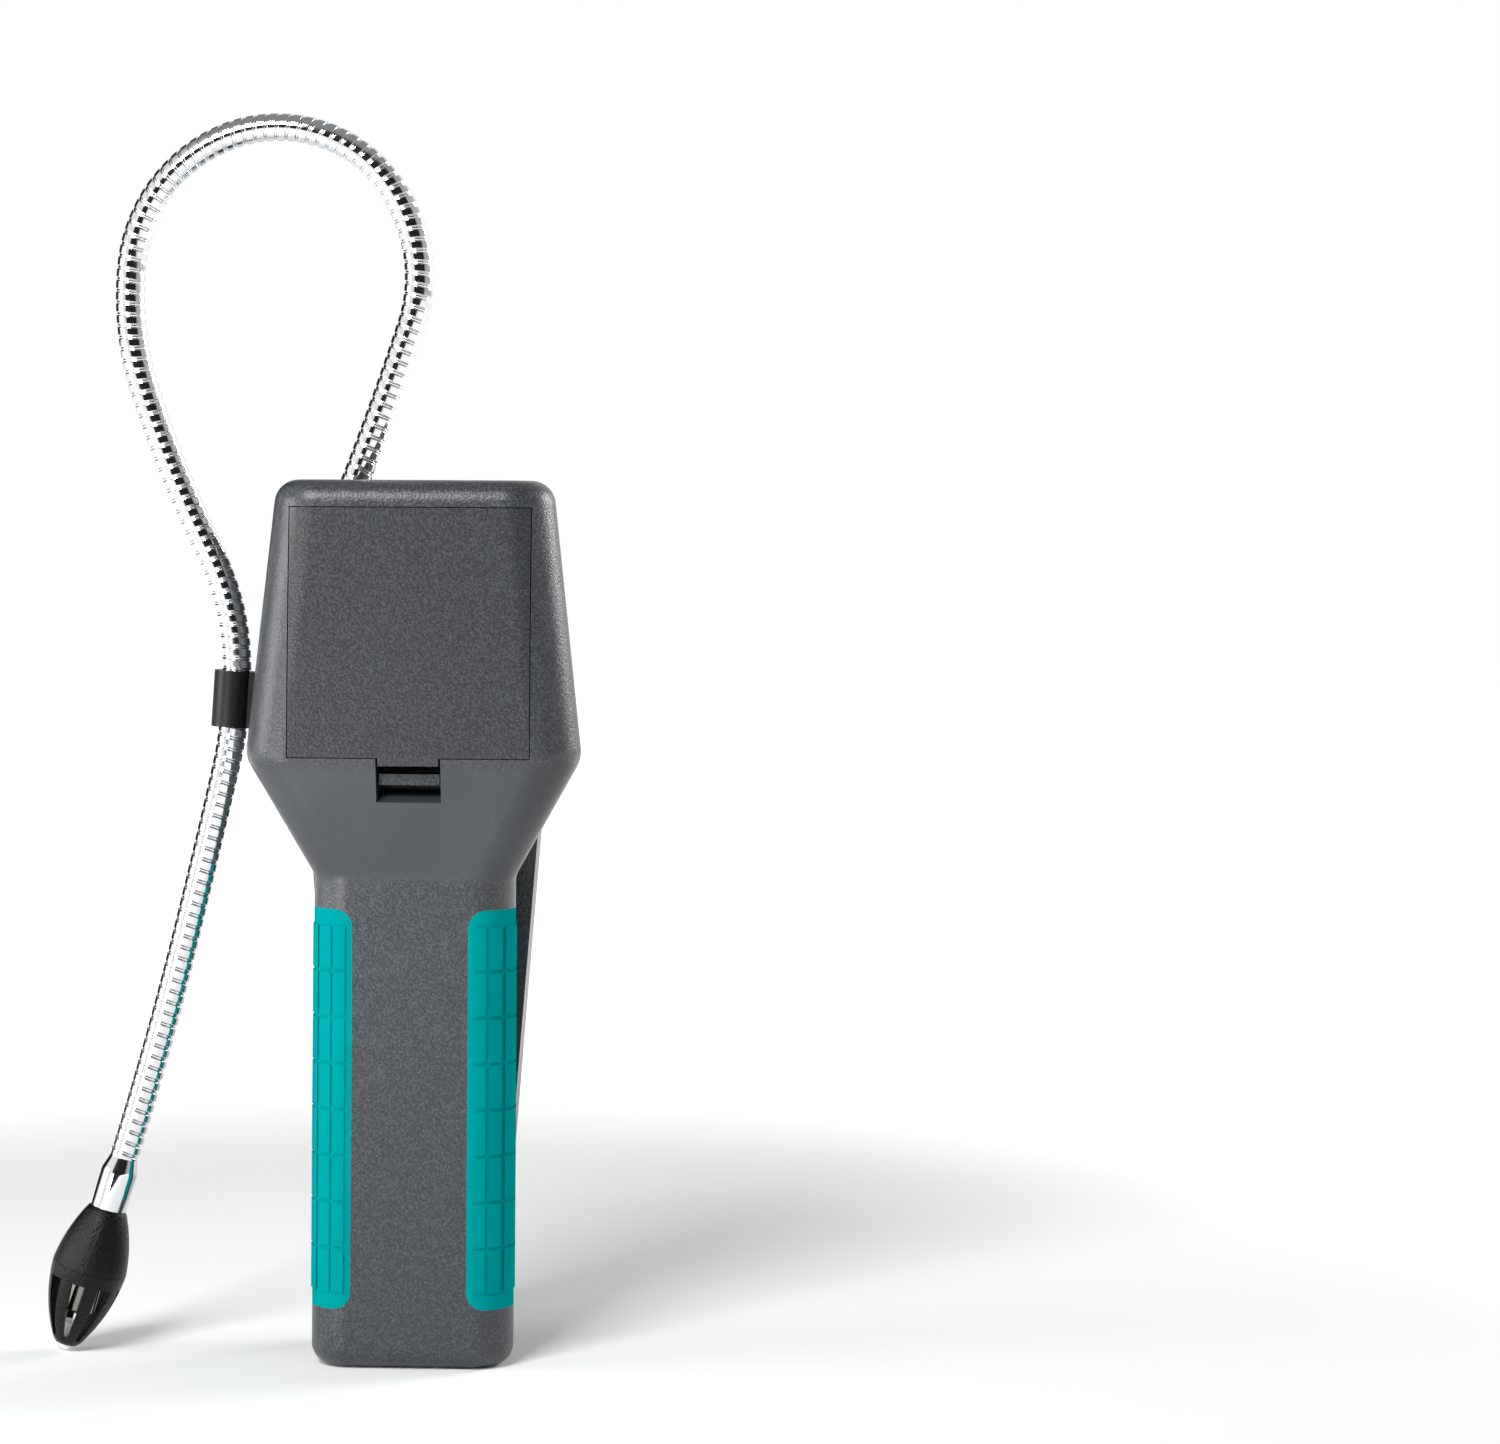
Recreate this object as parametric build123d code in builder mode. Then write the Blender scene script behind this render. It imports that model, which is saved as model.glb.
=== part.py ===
from build123d import *
import os
from math import asin, cos, sin, tan, radians

# Handheld combustible gas detector, in millimetres.
# Origin: centre of the handle's flat base. +Z up the body, +Y out of the back, +X towards the side clip.

# Body outline, half widths seen from the back
body_height = 220.4
head_height = 68.9
waist_drop = 29.6
top_half = 34.4
shoulder_half = 41.9
handle_half = 25.2
wall = 2.4
side_draft = 5.5
head_round = 12.0
handle_round = 10.0
top_edge_round = 6.0
base_edge_round = 5.0
shoulder_round = 8.0
neck_round = 6.0

# Depths along Y
head_back = 23.0
handle_back = 16.0
parting = -8.0
flange_depth = 4.0
flange_slope = 2.0
tongue_front = -24.0
tongue_wall = 2.0
tongue_overlap = 1.0

# Raised tongue of the front housing, half widths
tongue_base_half = 19.1
tongue_wide_drop = 40.4
tongue_wide_half = 32.9
tongue_top_half = 28.5
tongue_margin = 2.5
tongue_round = 8.0
tongue_edge_round = 2.0
panel_inset = 1.2
panel_thickness = 1.0

# Battery cover and bay
cover_margin = 4.6
cover_lift = 0.5
cover_drop = 6.9
cover_thickness = 2.0
cover_gap = 0.25
seat_gap = 0.1
bay_lip = 1.6
bay_margin = 1.5
bay_depth = 18.0
bay_wall = 1.6
hook_half = 4.0
hook_share = 0.6
hook_reach = 2.4
hook_thickness = 1.8
hook_root = 5.0
hook_step = 0.4
hook_gap = 0.3

# Finger notch and the springy latch of the cover
notch_half = 8.0
notch_drop = 11.3
notch_depth = 16.2
notch_ramp = 2.3
notch_ramp_start = 2.0
notch_ramp_depth = 6.0
catch_slot = 6.0
latch_side_gap = 0.5
tab_reach = 2.05
latch_leaf = 1.4
latch_bend = 3.1
latch_bend_depth = 12.4
latch_finger_depth = 3.4
latch_ridge = 2.7
latch_ridge_depth = 2.0

# Battery cells
cell_count = 4
cell_gap = 0.05
cell_nub = 1.2
nub_radius = 2.7
contact_thickness = 0.4
contact_half_width = 5.5
spring_length = 5.1
spring_foot_radius = 3.6
spring_tip_radius = 2.6
spring_wire = 0.7

# Rubber grips
grip_bottom = 15.0
grip_drop = 7.9
grip_reach = 10.8
grip_thickness = 2.0
grip_corner = 4.5
grip_front = -6.0
grip_border = 1.7
grip_end_border = 4.2
pad_rows = 8
pad_width = 2.9
pad_proud = 0.3
groove_width = 0.75

# Gooseneck: start point, lean from upright, then bends as (length, turn in degrees)
neck_y = -2.0
neck_radius = 3.65
neck_valley = 3.2
neck_inset = 13.7
neck_drop = 10.4
neck_lean = 21.6
neck_bends = [(52.5, -3.5), (36.7, -53), (47.6, -78), (41.6, -61.5), (31.7, -23.5), (44.6, -9), (28.7, 25.5),
              (27.8, 14), (39.6, 1), (61.4, 3.5)]
band_pitch = 5.7
neck_plain_start = 12.0

# Bush that holds the neck in the top wall
bush_radius = 5.0
bush_bottom = -2.0
bush_top = 8.6
fit = 0.05
neck_clearance = 0.25
bush_wall = 3.0

# Side clip
clip_station = 292.9
clip_length = 14.2
clip_outer = 5.1
clip_offset = 0.75
clip_play = 0.25
clip_mouth = 5.6
clip_arm_half = 3.0
clip_base_half = 5.0
clip_base_thickness = 1.2

# Ferrule and sensor head, radii and distances along their common axis
ferrule_length = 13.4
ferrule_neck_radius = 3.4
ferrule_flare = 4.0
ferrule_radius = 4.65
shank_radius = 2.5
shank_length = 4.0
head_top_radius = 5.0
head_bulge = 8.2
head_bulge_radius = 7.95
head_seam = 15.8
seam_radius = 9.45
seam_gap = 0.1
head_edge = 0.8
cage_waist = 27.0
cage_waist_radius = 7.4
cage_tip_radius = 3.6
head_length = 36.0
head_wall = 1.6
slot_count = 8
slot_turn = 90.0
slot_wide = 4.1
slot_narrow = 1.2
slot_start = 3.2
slot_end = 1.8
led_radius = 1.95
led_reach = 1.7
led_depth = 5.6
led_flange = 0.5
led_flange_length = 1.2
sensor_disc = 1.6
sensor_disc_radius = 7.2
rim_step = 0.9
sensor_can_radius = 4.4
sensor_can_length = 11.5

# Front controls
board_depth = 10.8
board_thickness = 1.6
board_edge = 1.0
pillar_gap = 0.4
led_count = 10
led_drop = 13.9
led_pitch = 8.0
lamp_radius = 1.95
lamp_proud = 0.6
lamp_edge = 0.6
hole_gap = 0.15
key_first = 42.0
key_pitch = 22.0
key_names = ["power_button", "sensitivity_button", "mute_button"]
key_half_width = 7.0
key_half_height = 5.0
key_corner = 2.5
key_proud = 1.6
key_flange = 1.2
key_flange_thickness = 1.0
key_play = 0.2
key_travel = 0.8
key_edge = 0.6
switch_half = 3.1
switch_height = 3.6
stem_radius = 1.6
sounder_drop = 19.4
sounder_radius = 10.0
sounder_height = 6.4
sound_hole_radius = 1.2
sound_hole_ring = 5.0
sound_hole_depth = 1.0
low_screw = (11.0, 16.0)
high_screw = (22.0, 8.5)
screw_head_radius = 2.8
screw_head_height = 2.0
screw_shaft_radius = 1.45
screw_sink = 0.2
screw_reach = 9.0
screw_hole_spare = 1.0
boss_radius = 3.4

# Levels, widths and depths that follow from the above
shoulder_level = body_height - head_height
neck_level = shoulder_level - waist_drop
tongue_wide_level = body_height - tongue_wide_drop
slope = tan(radians(side_draft))
corner_middle = radians((90 - side_draft) / 2)
past_back = head_back + 10
cover_half = top_half - cover_margin
cover_bottom = shoulder_level + cover_lift
cover_top = body_height - cover_drop
bay_half = cover_half - bay_lip
bay_floor = head_back - bay_depth
bay_bottom = cover_bottom + bay_margin
bay_top = cover_top - bay_margin
hook_offset = hook_share * cover_half
notch_bottom = cover_bottom - notch_drop
notch_floor = head_back - notch_depth
cell_pitch = (bay_top - bay_bottom) / cell_count
cell_radius = cell_pitch / 2 - cell_gap
contact_x = bay_half - contact_thickness
cell_body = 2 * contact_x - cell_nub - spring_length
grip_top = neck_level - grip_drop
neck_start_x = top_half - neck_inset
neck_start_z = body_height - neck_drop
board_back = tongue_front + board_depth
led_first = neck_level - led_drop
key_levels = [key_first + index * key_pitch for index in range(len(key_names))]
sounder_level = body_height - sounder_drop
high_screw_level = shoulder_level + high_screw[1]
screw_places = [(-low_screw[0], low_screw[1]), low_screw,
                (-high_screw[0], high_screw_level), (high_screw[0], high_screw_level)]
tab_bottom = cover_bottom - tab_reach
tab_half = notch_half - latch_side_gap
tongue_bottom = tongue_margin
tongue_top = body_height - tongue_margin


# Cross-section of the body at one level: flat back, round back corners, sides that draw in to the parting
def body_section(level, half, back, corner, front):
    centre_x = half - corner
    centre_y = back - corner
    touch_x = centre_x + corner * cos(radians(side_draft))
    touch_y = centre_y - corner * sin(radians(side_draft))
    front_x = touch_x - (touch_y - front) * slope
    with BuildSketch(Plane.XY.offset(level)) as section:
        with BuildLine():
            Line((-front_x, front), (front_x, front))
            Line((front_x, front), (touch_x, touch_y))
            ThreePointArc((touch_x, touch_y), (centre_x + corner * cos(corner_middle),
                          centre_y + corner * sin(corner_middle)), (centre_x, back))
            Line((centre_x, back), (-centre_x, back))
            ThreePointArc((-centre_x, back), (-centre_x - corner * cos(corner_middle),
                          centre_y + corner * sin(corner_middle)), (-touch_x, touch_y))
            Line((-touch_x, touch_y), (-front_x, front))
        make_face()
    return section.sketch


# The body's back form, drawn in by an inset on the back and sides
def body_form(inset, front, bottom, top):
    levels = [
        (bottom, handle_half, handle_back, handle_round),
        (neck_level, handle_half, handle_back, handle_round),
        (shoulder_level, shoulder_half, head_back, head_round),
        (top, top_half, head_back, head_round),
    ]
    with BuildPart() as form:
        for level, half, back, corner in levels:
            add(body_section(level, half - inset, back - inset, corner - inset, front))
        loft(ruled=True)
        fillet(form.edges().filter_by_position(Axis.Z, shoulder_level, shoulder_level), shoulder_round - inset)
        fillet(form.edges().filter_by_position(Axis.Z, neck_level, neck_level), neck_round + inset)
    return form.part


# Half width of the body where it meets the parting plane
def parting_half(half, back, corner):
    touch_x = half - corner + corner * cos(radians(side_draft))
    touch_y = back - corner - corner * sin(radians(side_draft))
    return touch_x - (touch_y - parting) * slope


# Outline of the front housing's flange, seen along Y
def flange_outline(inset):
    top = parting_half(top_half, head_back, head_round) - inset
    shoulder = parting_half(shoulder_half, head_back, head_round) - inset
    handle = parting_half(handle_half, handle_back, handle_round) - inset
    with BuildSketch() as outline:
        with BuildLine():
            Polyline((handle, inset), (handle, neck_level), (shoulder, shoulder_level),
                     (top, body_height - inset), (-top, body_height - inset), (-shoulder, shoulder_level),
                     (-handle, neck_level), (-handle, inset), (handle, inset))
        make_face()
        corners = outline.vertices()
        fillet(corners.group_by(Axis.Y)[0], base_edge_round)
        corners = outline.vertices()
        fillet(corners.group_by(Axis.Y)[-1], top_edge_round)
    return outline.sketch


# Outline of the tongue, seen along Y
def tongue_outline(inset):
    base = tongue_base_half - inset
    wide = tongue_wide_half - inset
    top = tongue_top_half - inset
    with BuildSketch() as outline:
        with BuildLine():
            Polyline((base, tongue_bottom + inset), (wide, tongue_wide_level), (top, tongue_top - inset),
                     (-top, tongue_top - inset), (-wide, tongue_wide_level), (-base, tongue_bottom + inset),
                     (base, tongue_bottom + inset))
        make_face()
        fillet(outline.vertices(), tongue_round - inset)
    return outline.sketch


# Box between two corners
def block(low, high):
    size = [high[i] - low[i] for i in range(3)]
    centre = [(high[i] + low[i]) / 2 for i in range(3)]
    return Pos(*centre) * Box(*size, mode=Mode.PRIVATE)


# The curved slab of the battery cover, grown all round by a gap
def cover_slab(gap, depth):
    with BuildPart() as slab:
        add(body_form(0, parting, 0, body_height))
        add(body_form(depth, parting - 1, -1, body_height + 1), mode=Mode.SUBTRACT)
        lid = block((-cover_half - gap, 0, cover_bottom - gap), (cover_half + gap, past_back, cover_top + gap))
        tab = block((-tab_half - gap, 0, tab_bottom - gap), (tab_half + gap, past_back, cover_bottom))
        add(lid + tab, mode=Mode.INTERSECT)
    return slab.part


# The rubber grip's blank on one side, 1 for +X and -1 for -X
def grip_blank(side):
    inner = side * (handle_half - grip_reach)
    outer = side * (handle_half + 1)
    with BuildPart() as blank:
        with BuildSketch(Plane.XZ.offset(-grip_front)) as outline:
            with Locations((((inner + outer) / 2), (grip_bottom + grip_top) / 2)):
                Rectangle(abs(outer - inner), grip_top - grip_bottom)
            inner_corners = outline.vertices().group_by(Axis.X)[0 if side > 0 else -1]
            fillet(inner_corners, grip_corner)
        extrude(amount=-(handle_back + 2 - grip_front))
        add(body_form(0, parting, 0, body_height), mode=Mode.INTERSECT)
        add(body_form(grip_thickness, parting - 1, -1, body_height), mode=Mode.SUBTRACT)
    return blank.part


# Point and heading of the gooseneck's centre line at a distance along it
def neck_station(distance):
    x = neck_start_x
    z = neck_start_z
    heading = radians(neck_lean)
    for length, turn in neck_bends:
        run = min(distance, length)
        change = radians(turn) * run / length
        if abs(change) > 1e-9:
            radius = run / change
            x += radius * (cos(heading + change) - cos(heading))
            z += radius * (sin(heading + change) - sin(heading))
        else:
            x -= run * sin(heading)
            z += run * cos(heading)
        heading += change
        distance -= run
        if distance <= 0:
            break
    return x, z, heading


# Plane square to the gooseneck, its normal pointing along the neck and its X pointing away from the loop
def neck_plane(distance):
    x, z, heading = neck_station(distance)
    return Plane(origin=(x, neck_y, z), x_dir=(-cos(heading), 0, -sin(heading)),
                 z_dir=(-sin(heading), 0, cos(heading)))


neck_length = sum(length for length, turn in neck_bends)

# Rear housing: one moulding with the battery bay, the finger notch, grip seats and screw bosses
with BuildPart() as cavity:
    add(body_form(wall, parting - 1, wall, body_height - wall))
    add(block((-bay_half - bay_wall, bay_floor - bay_wall, bay_bottom - bay_wall),
              (bay_half + bay_wall, past_back, bay_top + bay_wall)), mode=Mode.SUBTRACT)
    add(block((-notch_half - bay_wall, notch_floor - bay_wall, notch_bottom - bay_wall),
              (notch_half + bay_wall, past_back, bay_bottom)), mode=Mode.SUBTRACT)
    seat_x, seat_z, seat_heading = neck_station(bush_bottom)
    top_x, top_z, top_heading = neck_station(bush_top)
    add(block((top_x - bush_radius - bush_wall, parting - wall, seat_z - bush_wall),
              (seat_x + bush_radius + bush_wall, bay_floor - bay_wall, body_height)), mode=Mode.SUBTRACT)
    for x, z in screw_places:
        with BuildSketch(Plane.XZ.offset(-parting + wall)):
            with Locations((x, z)):
                Circle(boss_radius)
        extrude(amount=-(past_back - parting), mode=Mode.SUBTRACT)

with BuildPart() as rear_housing:
    add(body_form(0, parting, 0, body_height))
    top_face = faces().sort_by(Axis.Z)[-1]
    top_edges = top_face.edges().filter_by(lambda e: e.center().Y > parting + 0.1)
    fillet(top_edges, top_edge_round)
    base_face = faces().sort_by(Axis.Z)[0]
    base_edges = base_face.edges().filter_by(lambda e: e.center().Y > parting + 0.1)
    fillet(base_edges, base_edge_round)
    add(cavity.part, mode=Mode.SUBTRACT)
    # Battery bay, open to the back, and the seat of the cover
    add(block((-bay_half, bay_floor, bay_bottom), (bay_half, past_back, bay_top)), mode=Mode.SUBTRACT)
    add(cover_slab(cover_gap, cover_thickness + seat_gap), mode=Mode.SUBTRACT)
    # Pockets behind the top lip for the cover's hooks
    for side in (-1, 1):
        add(block((side * hook_offset - hook_half - hook_gap, bay_floor, bay_top - bay_margin),
                  (side * hook_offset + hook_half + hook_gap, head_back - cover_thickness - seat_gap,
                   cover_top + hook_reach + hook_gap)), mode=Mode.SUBTRACT)
    # Finger notch with a ramp at its lower side
    with BuildSketch(Plane.YZ.offset(-notch_half)) as notch:
        with BuildLine():
            ramp_y = head_back - notch_ramp_start
            Polyline((notch_floor, bay_bottom - bay_wall), (past_back, bay_bottom - bay_wall),
                     (past_back, notch_bottom), (ramp_y, notch_bottom),
                     (ramp_y - notch_ramp_depth, notch_bottom + notch_ramp),
                     (notch_floor, notch_bottom + notch_ramp), (notch_floor, bay_bottom - bay_wall))
        make_face()
    extrude(amount=2 * notch_half, mode=Mode.SUBTRACT)
    add(block((-notch_half, head_back - catch_slot, bay_bottom - 2 * bay_wall),
              (notch_half, past_back, cover_bottom)), mode=Mode.SUBTRACT)
    for side in (-1, 1):
        add(grip_blank(side), mode=Mode.SUBTRACT)
    # Bore of the gooseneck and its bush
    with BuildSketch(neck_plane(0).offset(bush_bottom - bush_wall)):
        Circle(bush_radius + fit)
    extrude(amount=bush_top - bush_bottom + bush_wall, mode=Mode.SUBTRACT)
    with BuildSketch(neck_plane(0)):
        Circle(neck_radius + neck_clearance)
    extrude(amount=2 * neck_drop, mode=Mode.SUBTRACT)
    for x, z in screw_places:
        with BuildSketch(Plane.XZ.offset(-parting)):
            with Locations((x, z)):
                Circle(screw_shaft_radius)
        extrude(amount=-screw_reach, mode=Mode.SUBTRACT)
rear_housing.part.label = "rear_housing"


# Front housing: a flange that meets the rear housing, and the tapered tongue that carries the controls
with BuildPart() as front_housing:
    with BuildSketch(Plane.XZ.offset(-parting)):
        add(flange_outline(0))
    with BuildSketch(Plane.XZ.offset(-(parting - flange_depth))):
        add(flange_outline(flange_slope))
    loft(ruled=True)
    with BuildSketch(Plane.XZ.offset(-(parting - flange_depth + tongue_overlap))):
        add(tongue_outline(0))
    extrude(amount=parting - flange_depth + tongue_overlap - tongue_front)
    front_edges = faces().sort_by(Axis.Y)[0].edges()
    fillet(front_edges, tongue_edge_round)
    with BuildSketch(Plane.XZ.offset(-parting)):
        add(flange_outline(wall))
    extrude(amount=flange_depth - tongue_wall, mode=Mode.SUBTRACT)
    # Opening between flange and tongue, then the tongue's hollow, closed at the back where it overhangs
    tongue_back = parting - flange_depth + tongue_overlap
    with BuildSketch(Plane.XZ.offset(-parting)):
        add(tongue_outline(tongue_wall))
        add(flange_outline(wall + flange_slope), mode=Mode.INTERSECT)
    extrude(amount=parting - tongue_back + tongue_wall, mode=Mode.SUBTRACT)
    with BuildSketch(Plane.XZ.offset(-(tongue_back - tongue_wall))):
        add(tongue_outline(tongue_wall))
    extrude(amount=tongue_back - tongue_front - 2 * tongue_wall, mode=Mode.SUBTRACT)
    # Screw pillars
    for x, z in screw_places:
        with BuildSketch(Plane.XZ.offset(-parting)):
            with Locations((x, z)):
                Circle(boss_radius)
        extrude(amount=parting - tongue_front - tongue_wall)
        with BuildSketch(Plane.XZ.offset(-parting)):
            with Locations((x, z)):
                Circle(screw_shaft_radius + fit)
        extrude(amount=parting - tongue_front, mode=Mode.SUBTRACT)
        with BuildSketch(Plane.XZ.offset(-tongue_front)):
            with Locations((x, z)):
                Circle(screw_head_radius + fit)
        extrude(amount=-screw_head_height - screw_sink, mode=Mode.SUBTRACT)
    # Holes for the lamps, the keys and the sound
    with BuildSketch(Plane.XZ.offset(-tongue_front)):
        for index in range(led_count):
            with Locations((0, led_first + index * led_pitch)):
                Circle(lamp_radius + hole_gap)
        for level in key_levels:
            with Locations((0, level)):
                RectangleRounded(2 * (key_half_width + hole_gap), 2 * (key_half_height + hole_gap), key_corner)
        with Locations((0, sounder_level)):
            Circle(sound_hole_radius)
            with PolarLocations(sound_hole_ring, 6):
                Circle(sound_hole_radius)
    extrude(amount=-tongue_wall, mode=Mode.SUBTRACT)
front_housing.part.label = "front_housing"

# Thin overlay on the tongue, which hides the screw heads
with BuildPart() as front_panel:
    with BuildSketch(Plane.XZ.offset(-tongue_front)):
        add(tongue_outline(panel_inset + tongue_edge_round))
    extrude(amount=panel_thickness)
    with BuildSketch(Plane.XZ.offset(-tongue_front)):
        for index in range(led_count):
            with Locations((0, led_first + index * led_pitch)):
                Circle(lamp_radius + hole_gap)
        for level in key_levels:
            with Locations((0, level)):
                RectangleRounded(2 * (key_half_width + hole_gap), 2 * (key_half_height + hole_gap), key_corner)
        with Locations((0, sounder_level)):
            Circle(sound_hole_radius)
            with PolarLocations(sound_hole_ring, 6):
                Circle(sound_hole_radius)
    extrude(amount=panel_thickness, mode=Mode.SUBTRACT)
front_panel.part.label = "front_panel"

# Battery cover: the curved lid, its two top hooks and the springy latch in one moulding
with BuildPart() as battery_cover:
    add(cover_slab(0, cover_thickness))
    inner_y = head_back - cover_thickness
    for side in (-1, 1):
        low_x = side * hook_offset - hook_half
        high_x = side * hook_offset + hook_half
        add(block((low_x, inner_y - hook_thickness - hook_step, cover_top - hook_root),
                  (high_x, inner_y - hook_step, cover_top + hook_reach)))
        add(block((low_x, inner_y - hook_step - hook_gap, cover_top - hook_root),
                  (high_x, inner_y + hook_gap, cover_top - hook_reach)))
    bend_level = tab_bottom + latch_leaf - latch_bend
    with BuildSketch(Plane.YZ.offset(-tab_half)):
        with BuildLine():
            outer_y = head_back - latch_bend_depth
            finger_y = head_back - latch_finger_depth
            ridge_y = finger_y - latch_ridge_depth
            inner = latch_bend - latch_leaf
            leaf_top = inner_y + hook_gap
            Line((leaf_top, tab_bottom + latch_leaf), (outer_y, tab_bottom + latch_leaf))
            ThreePointArc((outer_y, bend_level + latch_bend), (outer_y - latch_bend, bend_level),
                          (outer_y, bend_level - latch_bend))
            Polyline((outer_y, bend_level - latch_bend), (finger_y, bend_level - latch_bend),
                     (finger_y, bend_level - latch_bend + latch_ridge),
                     (ridge_y, bend_level - latch_bend + latch_ridge), (ridge_y, bend_level - inner),
                     (outer_y, bend_level - inner))
            ThreePointArc((outer_y, bend_level - inner), (outer_y - inner, bend_level),
                          (outer_y, bend_level + inner))
            Polyline((outer_y, bend_level + inner), (leaf_top, bend_level + inner),
                     (leaf_top, tab_bottom + latch_leaf))
        make_face()
    extrude(amount=2 * tab_half)
battery_cover.part.label = "battery_cover"

pieces = {
    "rear_housing": rear_housing,
    "front_housing": front_housing,
    "front_panel": front_panel,
    "battery_cover": battery_cover,
}

# Rubber grips with rows of raised pads that follow the handle's round corner
pad_low = grip_bottom + grip_end_border
pad_high = grip_top - grip_end_border
pad_pitch = (pad_high - pad_low + groove_width) / pad_rows
pad_step = pad_width + groove_width
pad_inner = handle_half - grip_reach + grip_border
pad_outer = handle_half + 2 * pad_proud
side_pad_y = handle_back - handle_round
for side, name in ((1, "grip_left"), (-1, "grip_right")):
    with BuildPart() as pads:
        add(body_form(-pad_proud, parting, 0, body_height))
        add(body_form(pad_proud, parting - 1, -1, body_height + 1), mode=Mode.SUBTRACT)
        with BuildPart(mode=Mode.PRIVATE) as cells:
            for row in range(pad_rows):
                low = pad_low + row * pad_pitch
                high = low + pad_pitch - groove_width
                for start_x, end_x in ((pad_inner, pad_inner + pad_width),
                                       (pad_inner + pad_step, pad_inner + pad_step + pad_width),
                                       (pad_inner + 2 * pad_step, pad_outer)):
                    add(block((min(side * start_x, side * end_x), side_pad_y, low),
                              (max(side * start_x, side * end_x), past_back, high)))
                for step in (1, 2, 3):
                    end_y = side_pad_y - groove_width - (step - 1) * pad_step
                    add(block((min(side * pad_inner, side * pad_outer), end_y - pad_width, low),
                              (max(side * pad_inner, side * pad_outer), end_y, high)))
        add(cells.part, mode=Mode.INTERSECT)
    with BuildPart() as grip:
        add(grip_blank(side))
        add(pads.part)
    grip.part.label = name
    pieces[name] = grip

# Battery cells, lying across the bay, alternate ways round
cell_y = bay_floor + cell_radius + seat_gap
cell_levels = [bay_bottom + (bay_top - bay_bottom) / 2 + (i - (cell_count - 1) / 2) * cell_pitch
               for i in range(cell_count)]
for index, level in enumerate(cell_levels):
    way = 1 if index % 2 == 0 else -1
    with BuildPart() as cell:
        with BuildSketch(Plane.YZ.offset(way * contact_x)):
            with Locations((cell_y, level)):
                Circle(nub_radius)
        extrude(amount=-way * cell_nub)
        with BuildSketch(Plane.YZ.offset(way * (contact_x - cell_nub))):
            with Locations((cell_y, level)):
                Circle(cell_radius)
        extrude(amount=-way * cell_body)
    cell.part.label = "battery_cell_%d" % (index + 1)
    pieces[cell.part.label] = cell

# Contact plates at both ends of the bay, each across two cells, and a conical spring at each flat end
with BuildPart() as contact_plates:
    for side in (-1, 1):
        for pair in (0, 2):
            low = cell_levels[pair] - contact_half_width
            high = cell_levels[pair + 1] + contact_half_width
            add(block((min(side * contact_x, side * bay_half), cell_y - contact_half_width, low),
                      (max(side * contact_x, side * bay_half), cell_y + contact_half_width, high)))
contact_plates.part.label = "contact_plates"
pieces["contact_plates"] = contact_plates

with BuildPart() as contact_springs:
    for index, level in enumerate(cell_levels):
        way = 1 if index % 2 == 0 else -1
        with BuildSketch(Plane(origin=(-way * contact_x, cell_y, level), x_dir=(0, 1, 0), z_dir=(0, 0, 1))):
            with BuildLine():
                Polyline((spring_foot_radius - spring_wire, 0), (spring_foot_radius, 0),
                         (spring_tip_radius, -way * spring_length),
                         (spring_tip_radius - spring_wire, -way * spring_length),
                         (spring_foot_radius - spring_wire, 0))
            make_face()
        revolve(axis=Axis((-way * contact_x, cell_y, level), (1, 0, 0)))
contact_springs.part.label = "contact_springs"
pieces["contact_springs"] = contact_springs

# Circuit board in the tongue, with holes round the screw pillars
with BuildPart() as main_board:
    with BuildSketch(Plane.XZ.offset(-board_back)):
        add(tongue_outline(tongue_wall + board_edge))
    extrude(amount=board_thickness)
    with BuildSketch(Plane.XZ.offset(-board_back)):
        with Locations(*screw_places):
            Circle(boss_radius + pillar_gap)
    extrude(amount=board_thickness, mode=Mode.SUBTRACT)
main_board.part.label = "main_board"
pieces["main_board"] = main_board
board_front = board_back - board_thickness

# Row of lamps that shows the gas level
with BuildPart() as level_lamps:
    for index in range(led_count):
        with BuildSketch(Plane.XZ.offset(-board_front)):
            with Locations((0, led_first + index * led_pitch)):
                Circle(lamp_radius)
        extrude(amount=board_front - tongue_front + panel_thickness + lamp_proud)
    chamfer(faces().group_by(Axis.Y)[0].edges(), lamp_edge)
level_lamps.part.label = "level_lamps"
pieces["level_lamps"] = level_lamps

# Push switches on the board
inner_face = tongue_front + tongue_wall
flange_back = inner_face + key_play + key_flange_thickness
stem_front = flange_back + key_travel + key_play
with BuildPart() as push_switches:
    for level in key_levels:
        add(block((-switch_half, board_front - switch_height, level - switch_half),
                  (switch_half, board_front, level + switch_half)))
        with BuildSketch(Plane.XZ.offset(-board_front)):
            with Locations((0, level)):
                Circle(stem_radius)
        extrude(amount=board_front - stem_front)
push_switches.part.label = "push_switches"
pieces["push_switches"] = push_switches

# Keys, each a cap with a flange behind the wall
for level, name in zip(key_levels, key_names):
    with BuildPart() as key:
        with BuildSketch(Plane.XZ.offset(-flange_back)):
            with Locations((0, level)):
                RectangleRounded(2 * (key_half_width + key_flange), 2 * (key_half_height + key_flange),
                                 key_corner)
        extrude(amount=key_flange_thickness)
        with BuildSketch(Plane.XZ.offset(-flange_back + key_flange_thickness)):
            with Locations((0, level)):
                RectangleRounded(2 * key_half_width, 2 * key_half_height, key_corner - hole_gap)
        extrude(amount=inner_face + key_play - tongue_front + panel_thickness + key_proud)
        chamfer(faces().sort_by(Axis.Y)[0].edges(), key_edge)
    key.part.label = name
    pieces[name] = key

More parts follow.
